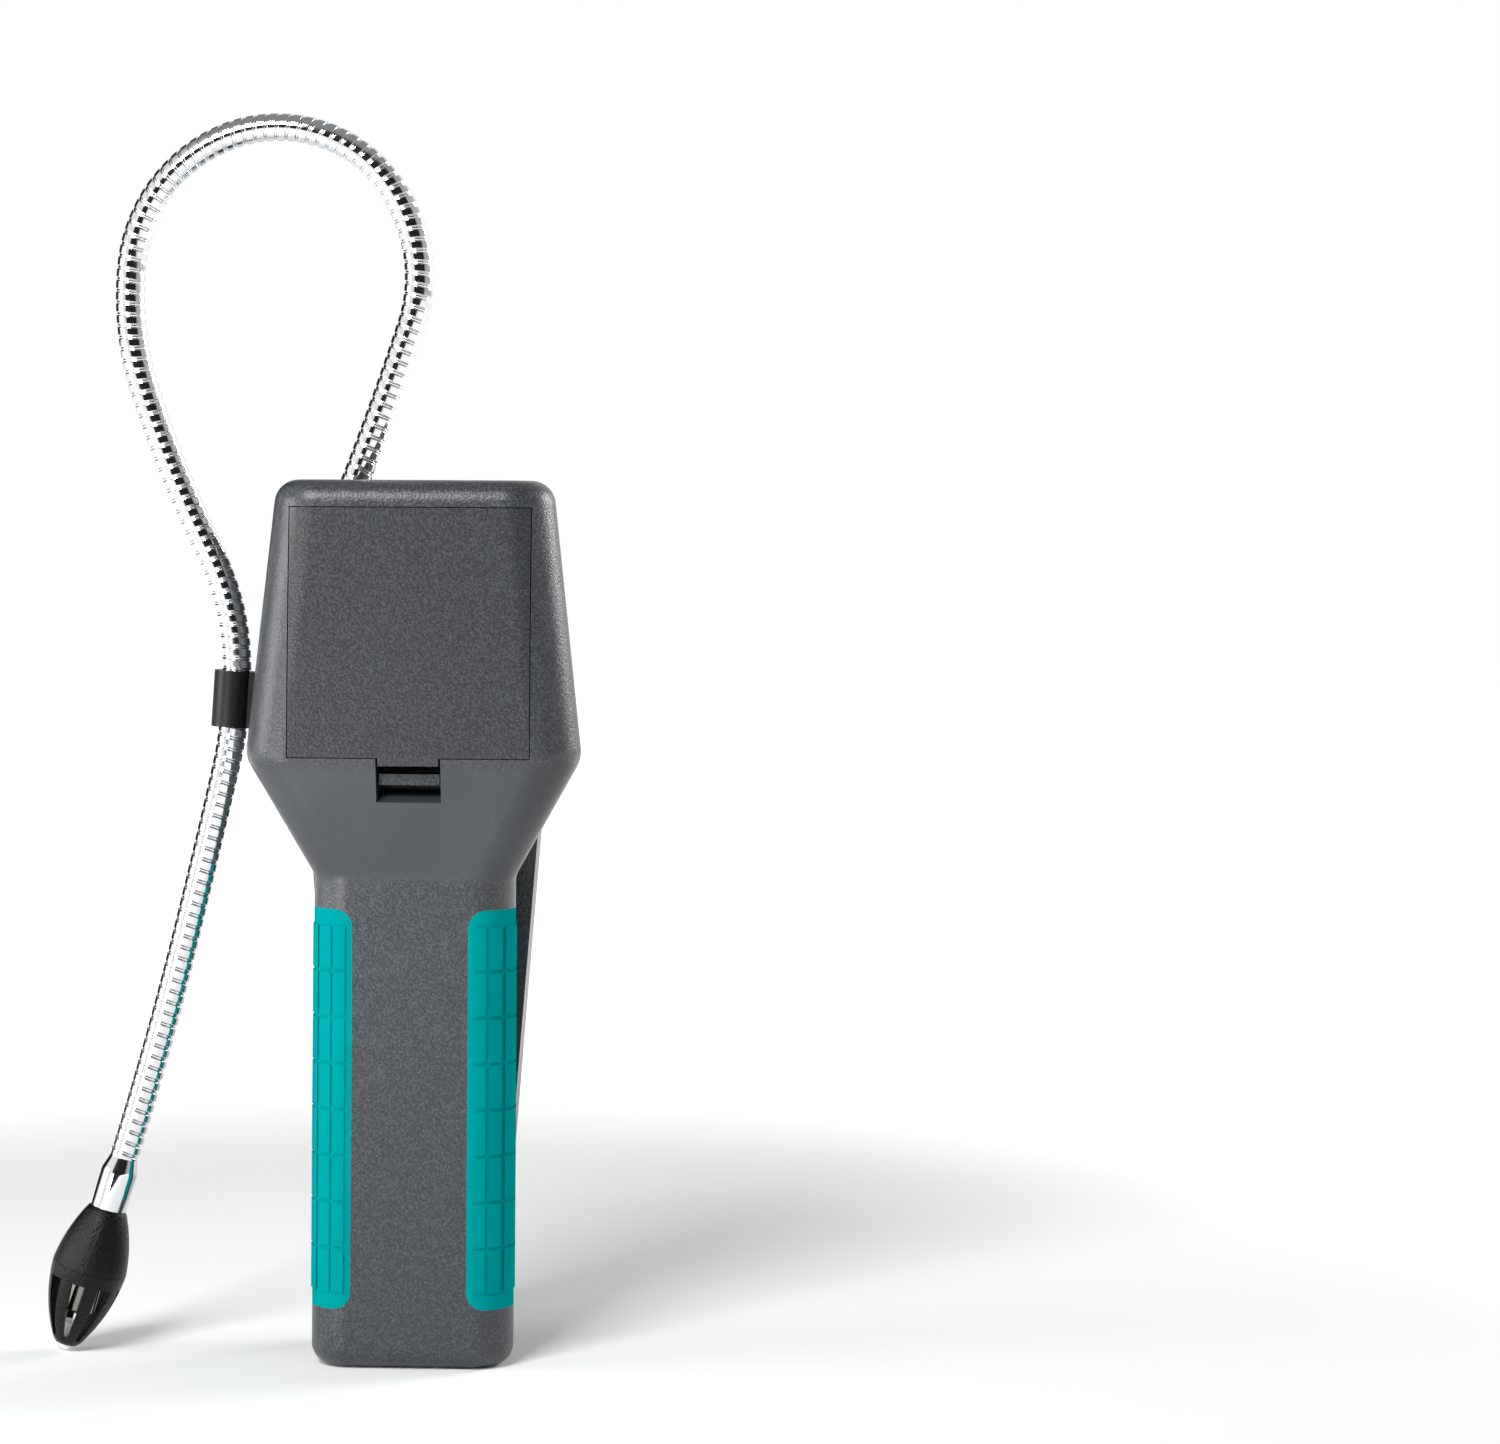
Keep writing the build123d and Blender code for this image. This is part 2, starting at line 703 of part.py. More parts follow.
# Sounder on the board, behind its holes
with BuildPart() as sounder:
    with BuildSketch(Plane.XZ.offset(-board_front)):
        with Locations((0, sounder_level)):
            Circle(sounder_radius)
    extrude(amount=sounder_height)
    with BuildSketch(Plane.XZ.offset(-board_front + sounder_height)):
        with Locations((0, sounder_level)):
            Circle(sound_hole_radius)
    extrude(amount=-sound_hole_depth, mode=Mode.SUBTRACT)
sounder.part.label = "sounder"
pieces["sounder"] = sounder

# Housing screws, driven from the front under the overlay
with BuildPart() as housing_screws:
    for x, z in screw_places:
        with BuildSketch(Plane.XZ.offset(-tongue_front - screw_sink)):
            with Locations((x, z)):
                Circle(screw_head_radius)
        extrude(amount=-screw_head_height)
        with BuildSketch(Plane.XZ.offset(-tongue_front - screw_sink - screw_head_height)):
            with Locations((x, z)):
                Circle(screw_shaft_radius)
        shaft_length = parting - tongue_front - screw_sink - screw_head_height + screw_reach - screw_hole_spare
        extrude(amount=-shaft_length)
housing_screws.part.label = "housing_screws"
pieces["housing_screws"] = housing_screws

# Gooseneck: a ribbed flexible tube, each rib a pair of cones along the bent centre line
with BuildPart() as gooseneck:
    band_count = int((neck_length - neck_plain_start) / band_pitch)
    start = neck_length - band_count * band_pitch
    stations = [(0, neck_radius), (start, neck_radius)]
    for band in range(band_count):
        middle = start + (band + 0.5) * band_pitch
        stations.append((middle, neck_valley))
        stations.append((middle + band_pitch / 2, neck_radius))
    for distance, radius in stations:
        with BuildSketch(neck_plane(distance)):
            Circle(radius)
    loft(ruled=True)
gooseneck.part.label = "gooseneck"
pieces["gooseneck"] = gooseneck

# Bush that clamps the neck in the top wall, and its nut
with BuildPart() as neck_bush:
    with BuildSketch(neck_plane(0).offset(bush_bottom)):
        Circle(bush_radius)
    extrude(amount=bush_top - bush_bottom)
    with BuildSketch(neck_plane(0)):
        Circle(neck_radius)
    extrude(amount=bush_top, mode=Mode.SUBTRACT)
neck_bush.part.label = "neck_bush"
pieces["neck_bush"] = neck_bush

# Side clip: an open ring round the neck, on an arm with a pad that seats on the body's side
clip_plane = neck_plane(clip_station)
with BuildPart() as side_clip:
    add(body_form(-clip_base_thickness, parting, 0, body_height))
    with BuildSketch(clip_plane):
        with Locations((-clip_outer, 0)):
            Rectangle(4 * clip_outer, 2 * clip_base_half, align=(Align.MAX, Align.CENTER))
    extrude(amount=clip_length / 2, both=True, mode=Mode.INTERSECT)
    with BuildSketch(clip_plane):
        with Locations((clip_offset, 0)):
            Circle(clip_outer)
        Rectangle(4 * clip_outer, 2 * clip_arm_half, align=(Align.MAX, Align.CENTER))
    extrude(amount=clip_length / 2, both=True)
    add(body_form(0, parting - 1, 0, body_height), mode=Mode.SUBTRACT)
    with BuildSketch(clip_plane):
        Circle(neck_radius + clip_play)
        Rectangle(clip_mouth, 2 * clip_outer, align=(Align.CENTER, Align.MIN))
    extrude(amount=clip_length, both=True, mode=Mode.SUBTRACT)
side_clip.part.label = "side_clip"
pieces["side_clip"] = side_clip

# Common frame of the ferrule and the sensor head: radius along X, distance down the axis along Y
end_x, end_z, end_heading = neck_station(neck_length)
down = (-sin(end_heading), 0, cos(end_heading))
across = (-cos(end_heading), 0, -sin(end_heading))


# Profile plane and axis that start a distance beyond the end of the neck
def head_plane(distance):
    origin = (end_x + down[0] * distance, neck_y, end_z + down[2] * distance)
    return Plane(origin=origin, x_dir=across, z_dir=(0, 1, 0))


head_axis = Axis((end_x, neck_y, end_z), down)

with BuildPart() as ferrule:
    with BuildSketch(head_plane(0)):
        with BuildLine():
            Polyline((0, 0), (ferrule_neck_radius, 0), (ferrule_radius, ferrule_flare),
                     (ferrule_radius, ferrule_length), (shank_radius, ferrule_length),
                     (shank_radius, ferrule_length + shank_length), (0, ferrule_length + shank_length), (0, 0))
        make_face()
    revolve(axis=head_axis)
ferrule.part.label = "ferrule"
pieces["ferrule"] = ferrule


# Upper shell of the sensor head: radii swell from the ferrule to the seam
head_start = ferrule_length
with BuildPart() as sensor_shell:
    with BuildSketch(head_plane(head_start)):
        with BuildLine():
            Polyline((shank_radius + fit, 0), (head_top_radius - head_edge, 0), (head_top_radius, head_edge))
            ThreePointArc((head_top_radius, head_edge), (head_bulge_radius, head_bulge),
                          (seam_radius, head_seam))
            Polyline((seam_radius, head_seam), (seam_radius - head_wall, head_seam),
                     (head_bulge_radius - head_wall, head_bulge),
                     (head_top_radius - head_wall + head_edge, 2 * head_wall),
                     (shank_radius + fit, 2 * head_wall), (shank_radius + fit, 0))
        make_face()
    revolve(axis=head_axis)
sensor_shell.part.label = "sensor_shell"
pieces["sensor_shell"] = sensor_shell

# Slotted guard below the seam
guard_start = head_start + head_seam + seam_gap
guard_length = head_length - head_seam - seam_gap
waist = cage_waist - head_seam - seam_gap
rim_radius = sensor_disc_radius - rim_step
cage_end = guard_length - head_edge
with BuildPart() as sensor_guard:
    with BuildSketch(head_plane(guard_start)):
        with BuildLine():
            Polyline((rim_radius, 0), (seam_radius, 0))
            ThreePointArc((seam_radius, 0), (cage_waist_radius, waist), (cage_tip_radius, cage_end))
            Polyline((cage_tip_radius, cage_end), (cage_tip_radius - head_edge, guard_length),
                     (led_radius + hole_gap, guard_length), (led_radius + hole_gap, guard_length - head_wall),
                     (cage_tip_radius - head_edge, guard_length - head_wall),
                     (cage_waist_radius - head_wall, waist), (rim_radius, slot_start), (rim_radius, 0))
        make_face()
    revolve(axis=head_axis)
    # Tapered slots repeated round the axis
    slot_length = guard_length - slot_end - slot_start
    with BuildPart(mode=Mode.PRIVATE) as slot:
        with BuildSketch(head_plane(guard_start + slot_start)):
            with BuildLine():
                Polyline((-slot_wide / 2, 0), (slot_wide / 2, 0), (slot_narrow / 2, slot_length),
                         (-slot_narrow / 2, slot_length), (-slot_wide / 2, 0))
            make_face()
        extrude(amount=2 * seam_radius)
    for index in range(slot_count):
        add(slot.part.rotate(head_axis, slot_turn + index * 360 / slot_count), mode=Mode.SUBTRACT)
sensor_guard.part.label = "sensor_guard"
pieces["sensor_guard"] = sensor_guard

# Disc that carries the sensing element, seated on the guard's rim
with BuildPart() as sensor_disc_piece:
    with BuildSketch(head_plane(guard_start - sensor_disc)):
        Rectangle(sensor_disc_radius, sensor_disc, align=(Align.MIN, Align.MIN))
    revolve(axis=head_axis)
sensor_disc_piece.part.label = "sensor_mount_disc"
pieces["sensor_mount_disc"] = sensor_disc_piece

with BuildPart() as sensor_can:
    with BuildSketch(head_plane(guard_start)):
        Rectangle(sensor_can_radius, sensor_can_length, align=(Align.MIN, Align.MIN))
        chamfer(vertices().group_by(Axis.Y)[-1].sort_by(Axis.X)[-1], head_edge)
    revolve(axis=head_axis)
sensor_can.part.label = "sensor_can"
pieces["sensor_can"] = sensor_can

# Lamp in the tip of the guard, with a collar inside and a domed end
tip_start = head_start + head_length
dome = (led_radius**2 + led_reach**2) / (2 * led_reach)
dome_angle = asin(led_radius / dome) / 2
with BuildPart() as tip_lamp:
    with BuildSketch(head_plane(tip_start)):
        with BuildLine():
            Polyline((0, led_reach), (0, -led_depth), (led_radius + led_flange, -led_depth),
                     (led_radius + led_flange, led_flange_length - led_depth),
                     (led_radius, led_flange_length - led_depth), (led_radius, 0))
            ThreePointArc((led_radius, 0), (dome * sin(dome_angle), led_reach - dome + dome * cos(dome_angle)),
                          (0, led_reach))
        make_face()
    revolve(axis=head_axis)
tip_lamp.part.label = "tip_lamp"
pieces["tip_lamp"] = tip_lamp

os.makedirs("parts", exist_ok=True)
for name, piece in pieces.items():
    export_step(piece.part, "parts/" + name + ".step")
    print(name, len(piece.part.solids()), piece.part.is_valid, round(piece.part.volume))
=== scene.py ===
import math

import bpy
from mathutils import Euler, Matrix, Vector


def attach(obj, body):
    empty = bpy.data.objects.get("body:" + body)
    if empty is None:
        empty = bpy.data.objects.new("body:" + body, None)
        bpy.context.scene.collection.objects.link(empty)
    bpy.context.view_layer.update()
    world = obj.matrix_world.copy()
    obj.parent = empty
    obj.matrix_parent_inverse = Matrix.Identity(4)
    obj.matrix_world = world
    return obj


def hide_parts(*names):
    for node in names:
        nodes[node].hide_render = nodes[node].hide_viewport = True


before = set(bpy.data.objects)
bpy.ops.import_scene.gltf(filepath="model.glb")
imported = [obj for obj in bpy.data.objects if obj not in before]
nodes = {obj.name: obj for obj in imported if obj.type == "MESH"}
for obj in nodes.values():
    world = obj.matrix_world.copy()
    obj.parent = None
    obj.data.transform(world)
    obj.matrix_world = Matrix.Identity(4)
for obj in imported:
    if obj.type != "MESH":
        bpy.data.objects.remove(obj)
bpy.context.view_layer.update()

scene = bpy.context.scene
mm = 0.001
print("frame loaded:", len(nodes), "nodes")


def hexToLinear(code):
    code = code.lstrip("#")
    channels = [int(code[i:i + 2], 16) / 255 for i in (0, 2, 4)]
    return [c / 12.92 if c <= 0.04045 else ((c + 0.055) / 1.055) ** 2.4 for c in channels] + [1.0]


def addNode(tree, kind, settings=None, links=None):
    node = tree.nodes.new(kind)
    for key, value in (settings or {}).items():
        if isinstance(key, int) or key in node.inputs:
            node.inputs[key].default_value = value
        else:
            setattr(node, key, value)
    for key, source in (links or {}).items():
        tree.links.new(source, node.inputs[key])
    return node


def startMaterial(name):
    material = bpy.data.materials.new(name)
    material.use_nodes = True
    material.node_tree.nodes.clear()
    return material, material.node_tree


def finishMaterial(tree, shader):
    addNode(tree, "ShaderNodeOutputMaterial", links={"Surface": shader})


# grainy moulded plastic: a fine noise for grain in tone, gloss and bump, a slow one for the flow of the melt
def grainPlastic(name, look):
    material, tree = startMaterial(name)
    place = addNode(tree, "ShaderNodeTexCoord").outputs["Object"]
    grain = addNode(tree, "ShaderNodeTexNoise", {"Scale": 1 / (look["grainMm"] * mm), "Detail": 2.0,
                    "Roughness": 0.6}, {"Vector": place}).outputs["Fac"]
    slow = addNode(tree, "ShaderNodeTexNoise", {"Scale": 1 / (look["cloudMm"] * mm), "Detail": 1.0},
                   {"Vector": place}).outputs["Fac"]
    speck = addNode(tree, "ShaderNodeMapRange", {"From Min": 0.42, "From Max": 0.72}, {"Value": grain}).outputs[0]
    blend = addNode(tree, "ShaderNodeMix", {"data_type": "FLOAT", 0: look.get("grainShare", 0.0)},
                    {2: slow, 3: speck})
    bump = addNode(tree, "ShaderNodeBump", {"Strength": look["bump"], "Distance": look["grainMm"] * mm * 0.5},
                   {"Height": grain})
    if "calmMm" in look:
        # height band where the tool was left smoother, fading in over a few millimetres
        low, high, fade, least = look["calmMm"]
        height = addNode(tree, "ShaderNodeSeparateXYZ", links={0: place}).outputs["Z"]
        fromMiddle = addNode(tree, "ShaderNodeMath", {"operation": "SUBTRACT", 1: (low + high) / 2 * mm},
                             {0: height}).outputs[0]
        reach = addNode(tree, "ShaderNodeMath", {"operation": "ABSOLUTE"}, {0: fromMiddle}).outputs[0]
        half = (high - low) / 2 * mm
        amount = addNode(tree, "ShaderNodeMapRange", {"From Min": half - fade * mm, "From Max": half,
                         "To Min": least, "To Max": 1.0}, {"Value": reach}).outputs[0]
        for node, socket, full in ((blend, 0, look["grainShare"]), (bump, "Strength", look["bump"])):
            share = addNode(tree, "ShaderNodeMath", {"operation": "MULTIPLY", 1: full}, {0: amount}).outputs[0]
            tree.links.new(share, node.inputs[socket])
    tone = addNode(tree, "ShaderNodeMix", {"data_type": "RGBA", 6: hexToLinear(look["dark"]),
                   7: hexToLinear(look["light"])}, {0: blend.outputs[0]}).outputs[2]
    rough = addNode(tree, "ShaderNodeMapRange", {"To Min": look["roughLow"], "To Max": look["roughHigh"]},
                    {"Value": speck}).outputs[0]
    shader = addNode(tree, "ShaderNodeBsdfPrincipled", {"IOR": look["ior"],
                     "Specular IOR Level": look.get("shine", 0.5)},
                     {"Base Color": tone, "Roughness": rough, "Normal": bump.outputs["Normal"]}).outputs[0]
    finishMaterial(tree, shader)
    return material


# bright metal with faint polishing haze
def plainMetal(name, look):
    material, tree = startMaterial(name)
    place = addNode(tree, "ShaderNodeTexCoord").outputs["Object"]
    haze = addNode(tree, "ShaderNodeTexNoise", {"Scale": 1 / (look["hazeMm"] * mm), "Detail": 2.0},
                   {"Vector": place}).outputs["Fac"]
    rough = addNode(tree, "ShaderNodeMapRange", {"To Min": look["roughLow"], "To Max": look["roughHigh"]},
                    {"Value": haze}).outputs[0]
    shader = addNode(tree, "ShaderNodeBsdfPrincipled", {"Base Color": hexToLinear(look["colour"]),
                     "Metallic": 1.0}, {"Roughness": rough}).outputs[0]
    finishMaterial(tree, shader)
    return material


# ABS moulded in a spark-eroded tool: dark grey with a sparkle of grain, calmer on the sloping waist;
# the grain is drawn coarser than its real 0.2 mm so that it shows
absGrain = grainPlastic("absSparkEroded", {"dark": "#292c2f", "light": "#4a4f52", "grainMm": 0.6, "cloudMm": 30,
                        "grainShare": 0.85, "bump": 0.45, "roughLow": 0.3, "roughHigh": 0.44, "ior": 1.5,
                        "calmMm": (120, 151, 3, 0.2)})
# the same ABS on the battery cover, made a shade darker in colour: painted shade standing in for the dimmer light
# on its face
coverGrainPaintedShade = grainPlastic("absSparkErodedCoverPaintedShade", {"dark": "#1c1f21", "light": "#3b3f42", "grainMm": 0.6,
                          "cloudMm": 30, "grainShare": 0.85, "bump": 0.45, "roughLow": 0.32, "roughHigh": 0.46,
                          "ior": 1.5})
# thermoplastic rubber over the handle: saturated teal, soft sheen
tealRubber = grainPlastic("tpeTealMoulded", {"dark": "#008486", "light": "#008d90", "grainMm": 0.5,
                          "cloudMm": 12, "bump": 0.08, "roughLow": 0.4, "roughHigh": 0.5, "ior": 1.5,
                          "shine": 0.0})
# acetal, moulded smooth: near black with one soft highlight
blackAcetal = grainPlastic("acetalBlackSatin", {"dark": "#0a0b0c", "light": "#0e0f10", "grainMm": 0.4,
                           "cloudMm": 8, "bump": 0.08, "roughLow": 0.34, "roughHigh": 0.44, "ior": 1.48,
                           "shine": 0.25})
# black ABS of the sensor head: grainy, so its highlight breaks up
headBlack = grainPlastic("absBlackGrained", {"dark": "#040505", "light": "#0d0e0f", "grainMm": 0.6, "cloudMm": 10,
                         "grainShare": 0.8, "bump": 0.9, "roughLow": 0.28, "roughHigh": 0.44, "ior": 1.5,
                         "shine": 0.22})
# polycarbonate overlay with a fine silk finish
panelFilm = grainPlastic("polycarbonateSilk", {"dark": "#2b2e31", "light": "#303336", "grainMm": 0.3,
                         "cloudMm": 20, "bump": 0.05, "roughLow": 0.35, "roughHigh": 0.45, "ior": 1.58})
boardGreen = grainPlastic("glassEpoxyBoard", {"dark": "#0c4a2c", "light": "#115a36", "grainMm": 0.6,
                          "cloudMm": 6, "bump": 0.05, "roughLow": 0.25, "roughHigh": 0.35, "ior": 1.5})
cellSleeve = grainPlastic("pvcSleeveGloss", {"dark": "#2a2b2e", "light": "#303236", "grainMm": 1.5,
                          "cloudMm": 8, "bump": 0.03, "roughLow": 0.18, "roughHigh": 0.25, "ior": 1.53})
clearLamp = grainPlastic("epoxyLampDiffused", {"dark": "#e6e7e3", "light": "#f0f1ee", "grainMm": 0.8,
                         "cloudMm": 2, "bump": 0.02, "roughLow": 0.12, "roughHigh": 0.2, "ior": 1.5})
# chrome plate on steel: mirror bright
chrome = plainMetal("chromePlateBright", {"colour": "#dfe1e3", "hazeMm": 3, "roughLow": 0.05, "roughHigh": 0.12})
# drawn steel can of the sensing element: darker, with narrow highlights
canSteel = plainMetal("steelCanDrawn", {"colour": "#8f8d88", "hazeMm": 2, "roughLow": 0.1, "roughHigh": 0.18})
nickel = plainMetal("nickelSatin", {"colour": "#b4b2ab", "hazeMm": 1.5, "roughLow": 0.22, "roughHigh": 0.34})

finishes = {
    "rear_housing": absGrain, "front_housing": absGrain, "battery_cover": coverGrainPaintedShade, "front_panel": panelFilm,
    "grip_left": tealRubber, "grip_right": tealRubber, "contact_plates": nickel, "contact_springs": nickel,
    "main_board": boardGreen, "level_lamps": clearLamp, "push_switches": blackAcetal,
    "power_button": tealRubber, "sensitivity_button": tealRubber, "mute_button": tealRubber,
    "sounder": blackAcetal, "housing_screws": nickel, "gooseneck": chrome, "neck_bush": nickel,
    "side_clip": blackAcetal, "ferrule": chrome, "sensor_shell": headBlack, "sensor_guard": headBlack,
    "sensor_mount_disc": boardGreen, "sensor_can": canSteel, "tip_lamp": clearLamp,
}
for index in range(1, 5):
    finishes["battery_cell_%d" % index] = cellSleeve


# the solid's own faces, shaded smooth up to a crease angle
def dressNode(name, material, crease=32):
    node = nodes[name]
    node.data.materials.clear()
    node.data.materials.append(material)
    for face in node.data.polygons:
        face.use_smooth = True
    weld = node.modifiers.new("weld", "WELD")
    weld.merge_threshold = 0.002 * mm
    split = node.modifiers.new("crease", "EDGE_SPLIT")
    split.split_angle = math.radians(crease)


for name, material in finishes.items():
    dressNode(name, material)
print("solids dressed")

# gooseneck: one helical strip of interlocked steel along the bent centre line
neck = {
    "start": (20.7, -2.0, 210.0), "lean": 21.6,
    "bends": [(52.5, -3.5), (36.7, -53), (47.6, -78), (41.6, -61.5), (31.7, -23.5), (44.6, -9), (28.7, 25.5),
              (27.8, 14), (39.6, 1), (61.4, 3.5)],
    "radius": 3.65, "pitch": 2.85, "around": 32,
    # share of the pitch, dip in mm; the close pairs keep the crest's shading flat up to its rolled edges
    "profile": [(0.0, -0.42), (0.02, -0.12), (0.05, -0.02), (0.075, 0.0), (0.09, 0.0), (0.36, 0.0), (0.64, 0.0),
                (0.655, 0.0), (0.68, -0.02), (0.71, -0.12), (0.725, -0.42), (0.76, -0.3), (0.86, -0.24),
                (0.96, -0.3)],
}
neckLength = sum(length for length, turn in neck["bends"])


# point and heading of the centre line, in mm
def neckPoint(distance):
    x, y, z = neck["start"]
    heading = math.radians(neck["lean"])
    for length, turn in neck["bends"]:
        run = min(distance, length)
        change = math.radians(turn) * run / length
        if abs(change) > 1e-9:
            x += run / change * (math.cos(heading + change) - math.cos(heading))
            z += run / change * (math.sin(heading + change) - math.sin(heading))
        heading += change
        distance -= run
        if distance <= 0:
            break
    return x, y, z, heading


def makeNeck():
    around = neck["around"]
    profile = neck["profile"]
    turns = int(neckLength / neck["pitch"]) + 2
    columns = turns * around
    points = []
    for n in range(columns):
        angle = 2 * math.pi * n / around
        for share, dip in profile:
            along = neck["pitch"] * (n / around + share - 1)
            along = min(max(along, 0.0), neckLength)
            x, y, z, heading = neckPoint(along)
            radius = neck["radius"] + dip
            out = radius * math.cos(angle)
            side = radius * math.sin(angle)
            points.append(((x - out * math.cos(heading)) * mm, (y + side) * mm,
                           (z - out * math.sin(heading)) * mm))
    rows = len(profile)
    faces = []
    for n in range(columns - 1):
        for j in range(rows - 1):
            a = n * rows + j
            faces.append((a, a + rows, a + rows + 1, a + 1))
        if n + around + 1 < columns:
            a = n * rows + rows - 1
            b = (n + around) * rows
            faces.append((a, a + rows, b + rows, b))
    mesh = bpy.data.meshes.new("gooseneckStrip")
    mesh.from_pydata(points, [], faces)
    mesh.validate()
    for face in mesh.polygons:
        face.use_smooth = True
    strip = bpy.data.objects.new("gooseneckStrip", mesh)
    scene.collection.objects.link(strip)
    mesh.materials.append(chrome)
    split = strip.modifiers.new("crease", "EDGE_SPLIT")
    split.split_angle = math.radians(50)
    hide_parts("gooseneck")
    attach(strip, "housing")
    return strip


makeNeck()
print("gooseneck made")

# photograph's viewpoint, and the window's place in it
shot = {"place": (-0.1155, 0.937, 0.21), "yaw": 1.99, "roll": 0.345, "focalPx": 3738, "widthPx": 1500,
        "heightPx": 1444, "horizonPx": 524, "sensorMm": 36}
cameraData = bpy.data.cameras.new("camera")
camera = bpy.data.objects.new("camera", cameraData)
scene.collection.objects.link(camera)
camera.location = shot["place"]
upright = Euler((math.radians(90), 0, math.radians(180 + shot["yaw"]))).to_matrix()
camera.rotation_euler = (upright @ Matrix.Rotation(math.radians(shot["roll"]), 3, "Z")).to_euler()
cameraData.sensor_width = shot["sensorMm"]
cameraData.lens = shot["sensorMm"] * shot["focalPx"] / shot["widthPx"]
cameraData.shift_y = (shot["horizonPx"] - shot["heightPx"] / 2) / shot["widthPx"]
scene.camera = camera

# floor: pale and wide, lifted only where it is seen, not at all near the part and to white farther off
floorLook = {"size": 8.0, "colour": "#f4f4f4", "nearLift": 0.0, "farLift": 1.0, "nearM": 0.26, "farM": 0.7}
bpy.ops.mesh.primitive_plane_add(size=floorLook["size"])
floor = bpy.context.object
floor.name = "floor"
floorMaterial, tree = startMaterial("paperFloor")
rays = addNode(tree, "ShaderNodeLightPath").outputs
seen = addNode(tree, "ShaderNodeMath", {"operation": "MAXIMUM"}, {0: rays["Is Camera Ray"],
               1: rays["Is Glossy Ray"]}).outputs[0]
seenAny = addNode(tree, "ShaderNodeMath", {"operation": "MAXIMUM"}, {0: seen,
                  1: rays["Is Transmission Ray"]}).outputs[0]
place = addNode(tree, "ShaderNodeTexCoord").outputs["Object"]
away = addNode(tree, "ShaderNodeVectorMath", {"operation": "LENGTH"}, {0: place}).outputs["Value"]
lift = addNode(tree, "ShaderNodeMapRange", {"interpolation_type": "SMOOTHSTEP", "From Min": floorLook["nearM"],
               "From Max": floorLook["farM"], "To Min": floorLook["nearLift"], "To Max": floorLook["farLift"]},
               {"Value": away}).outputs[0]
strength = addNode(tree, "ShaderNodeMath", {"operation": "MULTIPLY"}, {0: seenAny, 1: lift}).outputs[0]
paper = addNode(tree, "ShaderNodeBsdfDiffuse", {"Color": hexToLinear(floorLook["colour"])}).outputs[0]
glow = addNode(tree, "ShaderNodeEmission", links={"Strength": strength}).outputs[0]
both = addNode(tree, "ShaderNodeAddShader", links={0: paper, 1: glow}).outputs[0]
finishMaterial(tree, both)
floor.data.materials.append(floorMaterial)

# room round the part. Gloss sees a ring of light and dark screens, as brightness by compass direction in degrees
# from the camera's side towards the left; everything else gets the even fill
roomLook = {"fill": 0.2, "top": 0.3, "topFrom": 0.55, "topTo": 0.85, "ring": [
    (-180, 1.0), (-136, 1.0), (-128, 0.6), (-60, 0.5), (-48, 0.02), (28, 0.02), (35, 1.0), (98, 1.0), (106, 0.02),
    (160, 0.02), (172, 1.0), (180, 1.0)]}
world = bpy.data.worlds.new("studio")
scene.world = world
world.use_nodes = True
tree = world.node_tree
tree.nodes.clear()
rays = addNode(tree, "ShaderNodeLightPath").outputs
seen = addNode(tree, "ShaderNodeMath", {"operation": "MAXIMUM"}, {0: rays["Is Camera Ray"],
               1: rays["Is Transmission Ray"]}).outputs[0]
way = addNode(tree, "ShaderNodeSeparateXYZ", links={0: addNode(tree, "ShaderNodeTexCoord").outputs["Generated"]})
turn = addNode(tree, "ShaderNodeMath", {"operation": "ARCTAN2"}, {0: way.outputs["X"], 1: way.outputs["Y"]})
share = addNode(tree, "ShaderNodeMapRange", {"From Min": -math.pi, "From Max": math.pi},
                {"Value": turn.outputs[0]}).outputs[0]
ring = addNode(tree, "ShaderNodeFloatCurve", links={"Value": share})
curve = ring.mapping.curves[0]
for degrees, level in roomLook["ring"][1:-1]:
    curve.points.new(degrees / 360 + 0.5, level / 2)
curve.points[0].location = (0, roomLook["ring"][0][1] / 2)
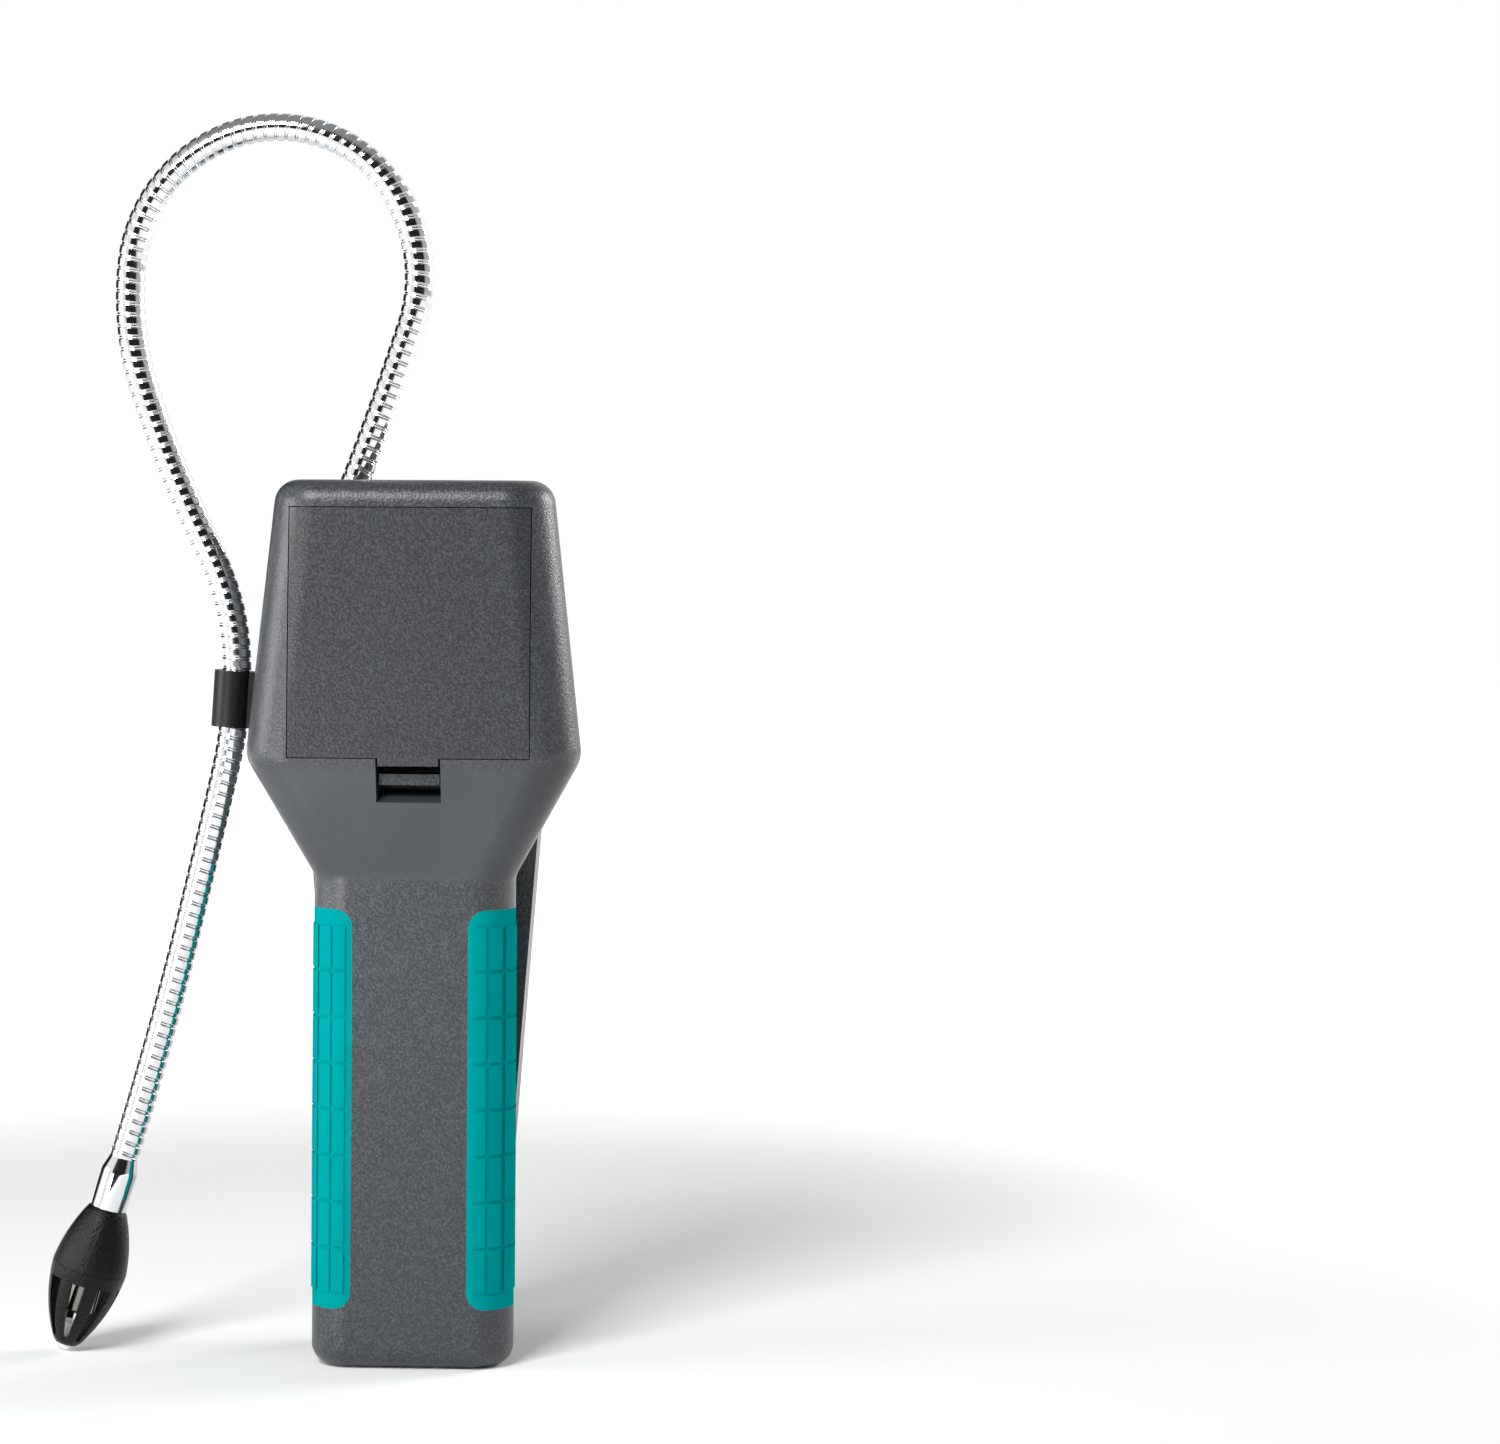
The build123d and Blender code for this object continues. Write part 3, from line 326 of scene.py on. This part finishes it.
curve.points[-1].location = (1, roomLook["ring"][-1][1] / 2)
for point in curve.points:
    point.handle_type = "VECTOR"
ring.mapping.update()
ringLevel = addNode(tree, "ShaderNodeMath", {"operation": "MULTIPLY", 1: 2.0}, {0: ring.outputs[0]}).outputs[0]
overhead = addNode(tree, "ShaderNodeMapRange", {"interpolation_type": "SMOOTHSTEP",
                   "From Min": roomLook["topFrom"], "From Max": roomLook["topTo"]},
                   {"Value": way.outputs["Z"]}).outputs[0]
room = addNode(tree, "ShaderNodeMix", {"data_type": "FLOAT", 3: roomLook["top"]},
               {0: overhead, 2: ringLevel}).outputs[0]
level = addNode(tree, "ShaderNodeMix", {"data_type": "FLOAT", 2: roomLook["fill"]},
                {0: rays["Is Glossy Ray"], 3: room}).outputs[0]
strength = addNode(tree, "ShaderNodeMix", {"data_type": "FLOAT", 3: 1.0}, {0: seen, 2: level}).outputs[0]
light = addNode(tree, "ShaderNodeBackground", {"Color": (1, 1, 1, 1)}, {"Strength": strength}).outputs[0]
addNode(tree, "ShaderNodeOutputWorld", links={"Surface": light})

# softboxes: key from the camera's left and above, one low at the left side, one behind at the right for the
# right-hand edges, and a small low one for the handle
lamps = {
    "keySoftbox": {"place": (0.298, 0.689, 0.789), "size": (0.4, 0.4), "power": 9.2},
    "leftSoftbox": {"place": (0.971, 0.255, 0.294), "size": (0.4, 0.4), "power": 4.5},
    "backSoftbox": {"place": (-0.794, -0.47, 0.462), "size": (0.4, 0.4), "power": 6.0},
    "lowSoftbox": {"place": (0.28, 0.4, 0.07), "size": (0.12, 0.12), "power": 0.7},
}
for name, values in lamps.items():
    data = bpy.data.lights.new(name, "AREA")
    data.shape = "RECTANGLE"
    data.size, data.size_y = values["size"]
    data.energy = values["power"]
    lamp = bpy.data.objects.new(name, data)
    scene.collection.objects.link(lamp)
    lamp.location = values["place"]
    lamp.rotation_euler = (Vector((0.02, 0, 0.12)) - lamp.location).to_track_quat("-Z", "Y").to_euler()

scene.view_settings.view_transform = "Standard"
print("stage, lights and camera placed")
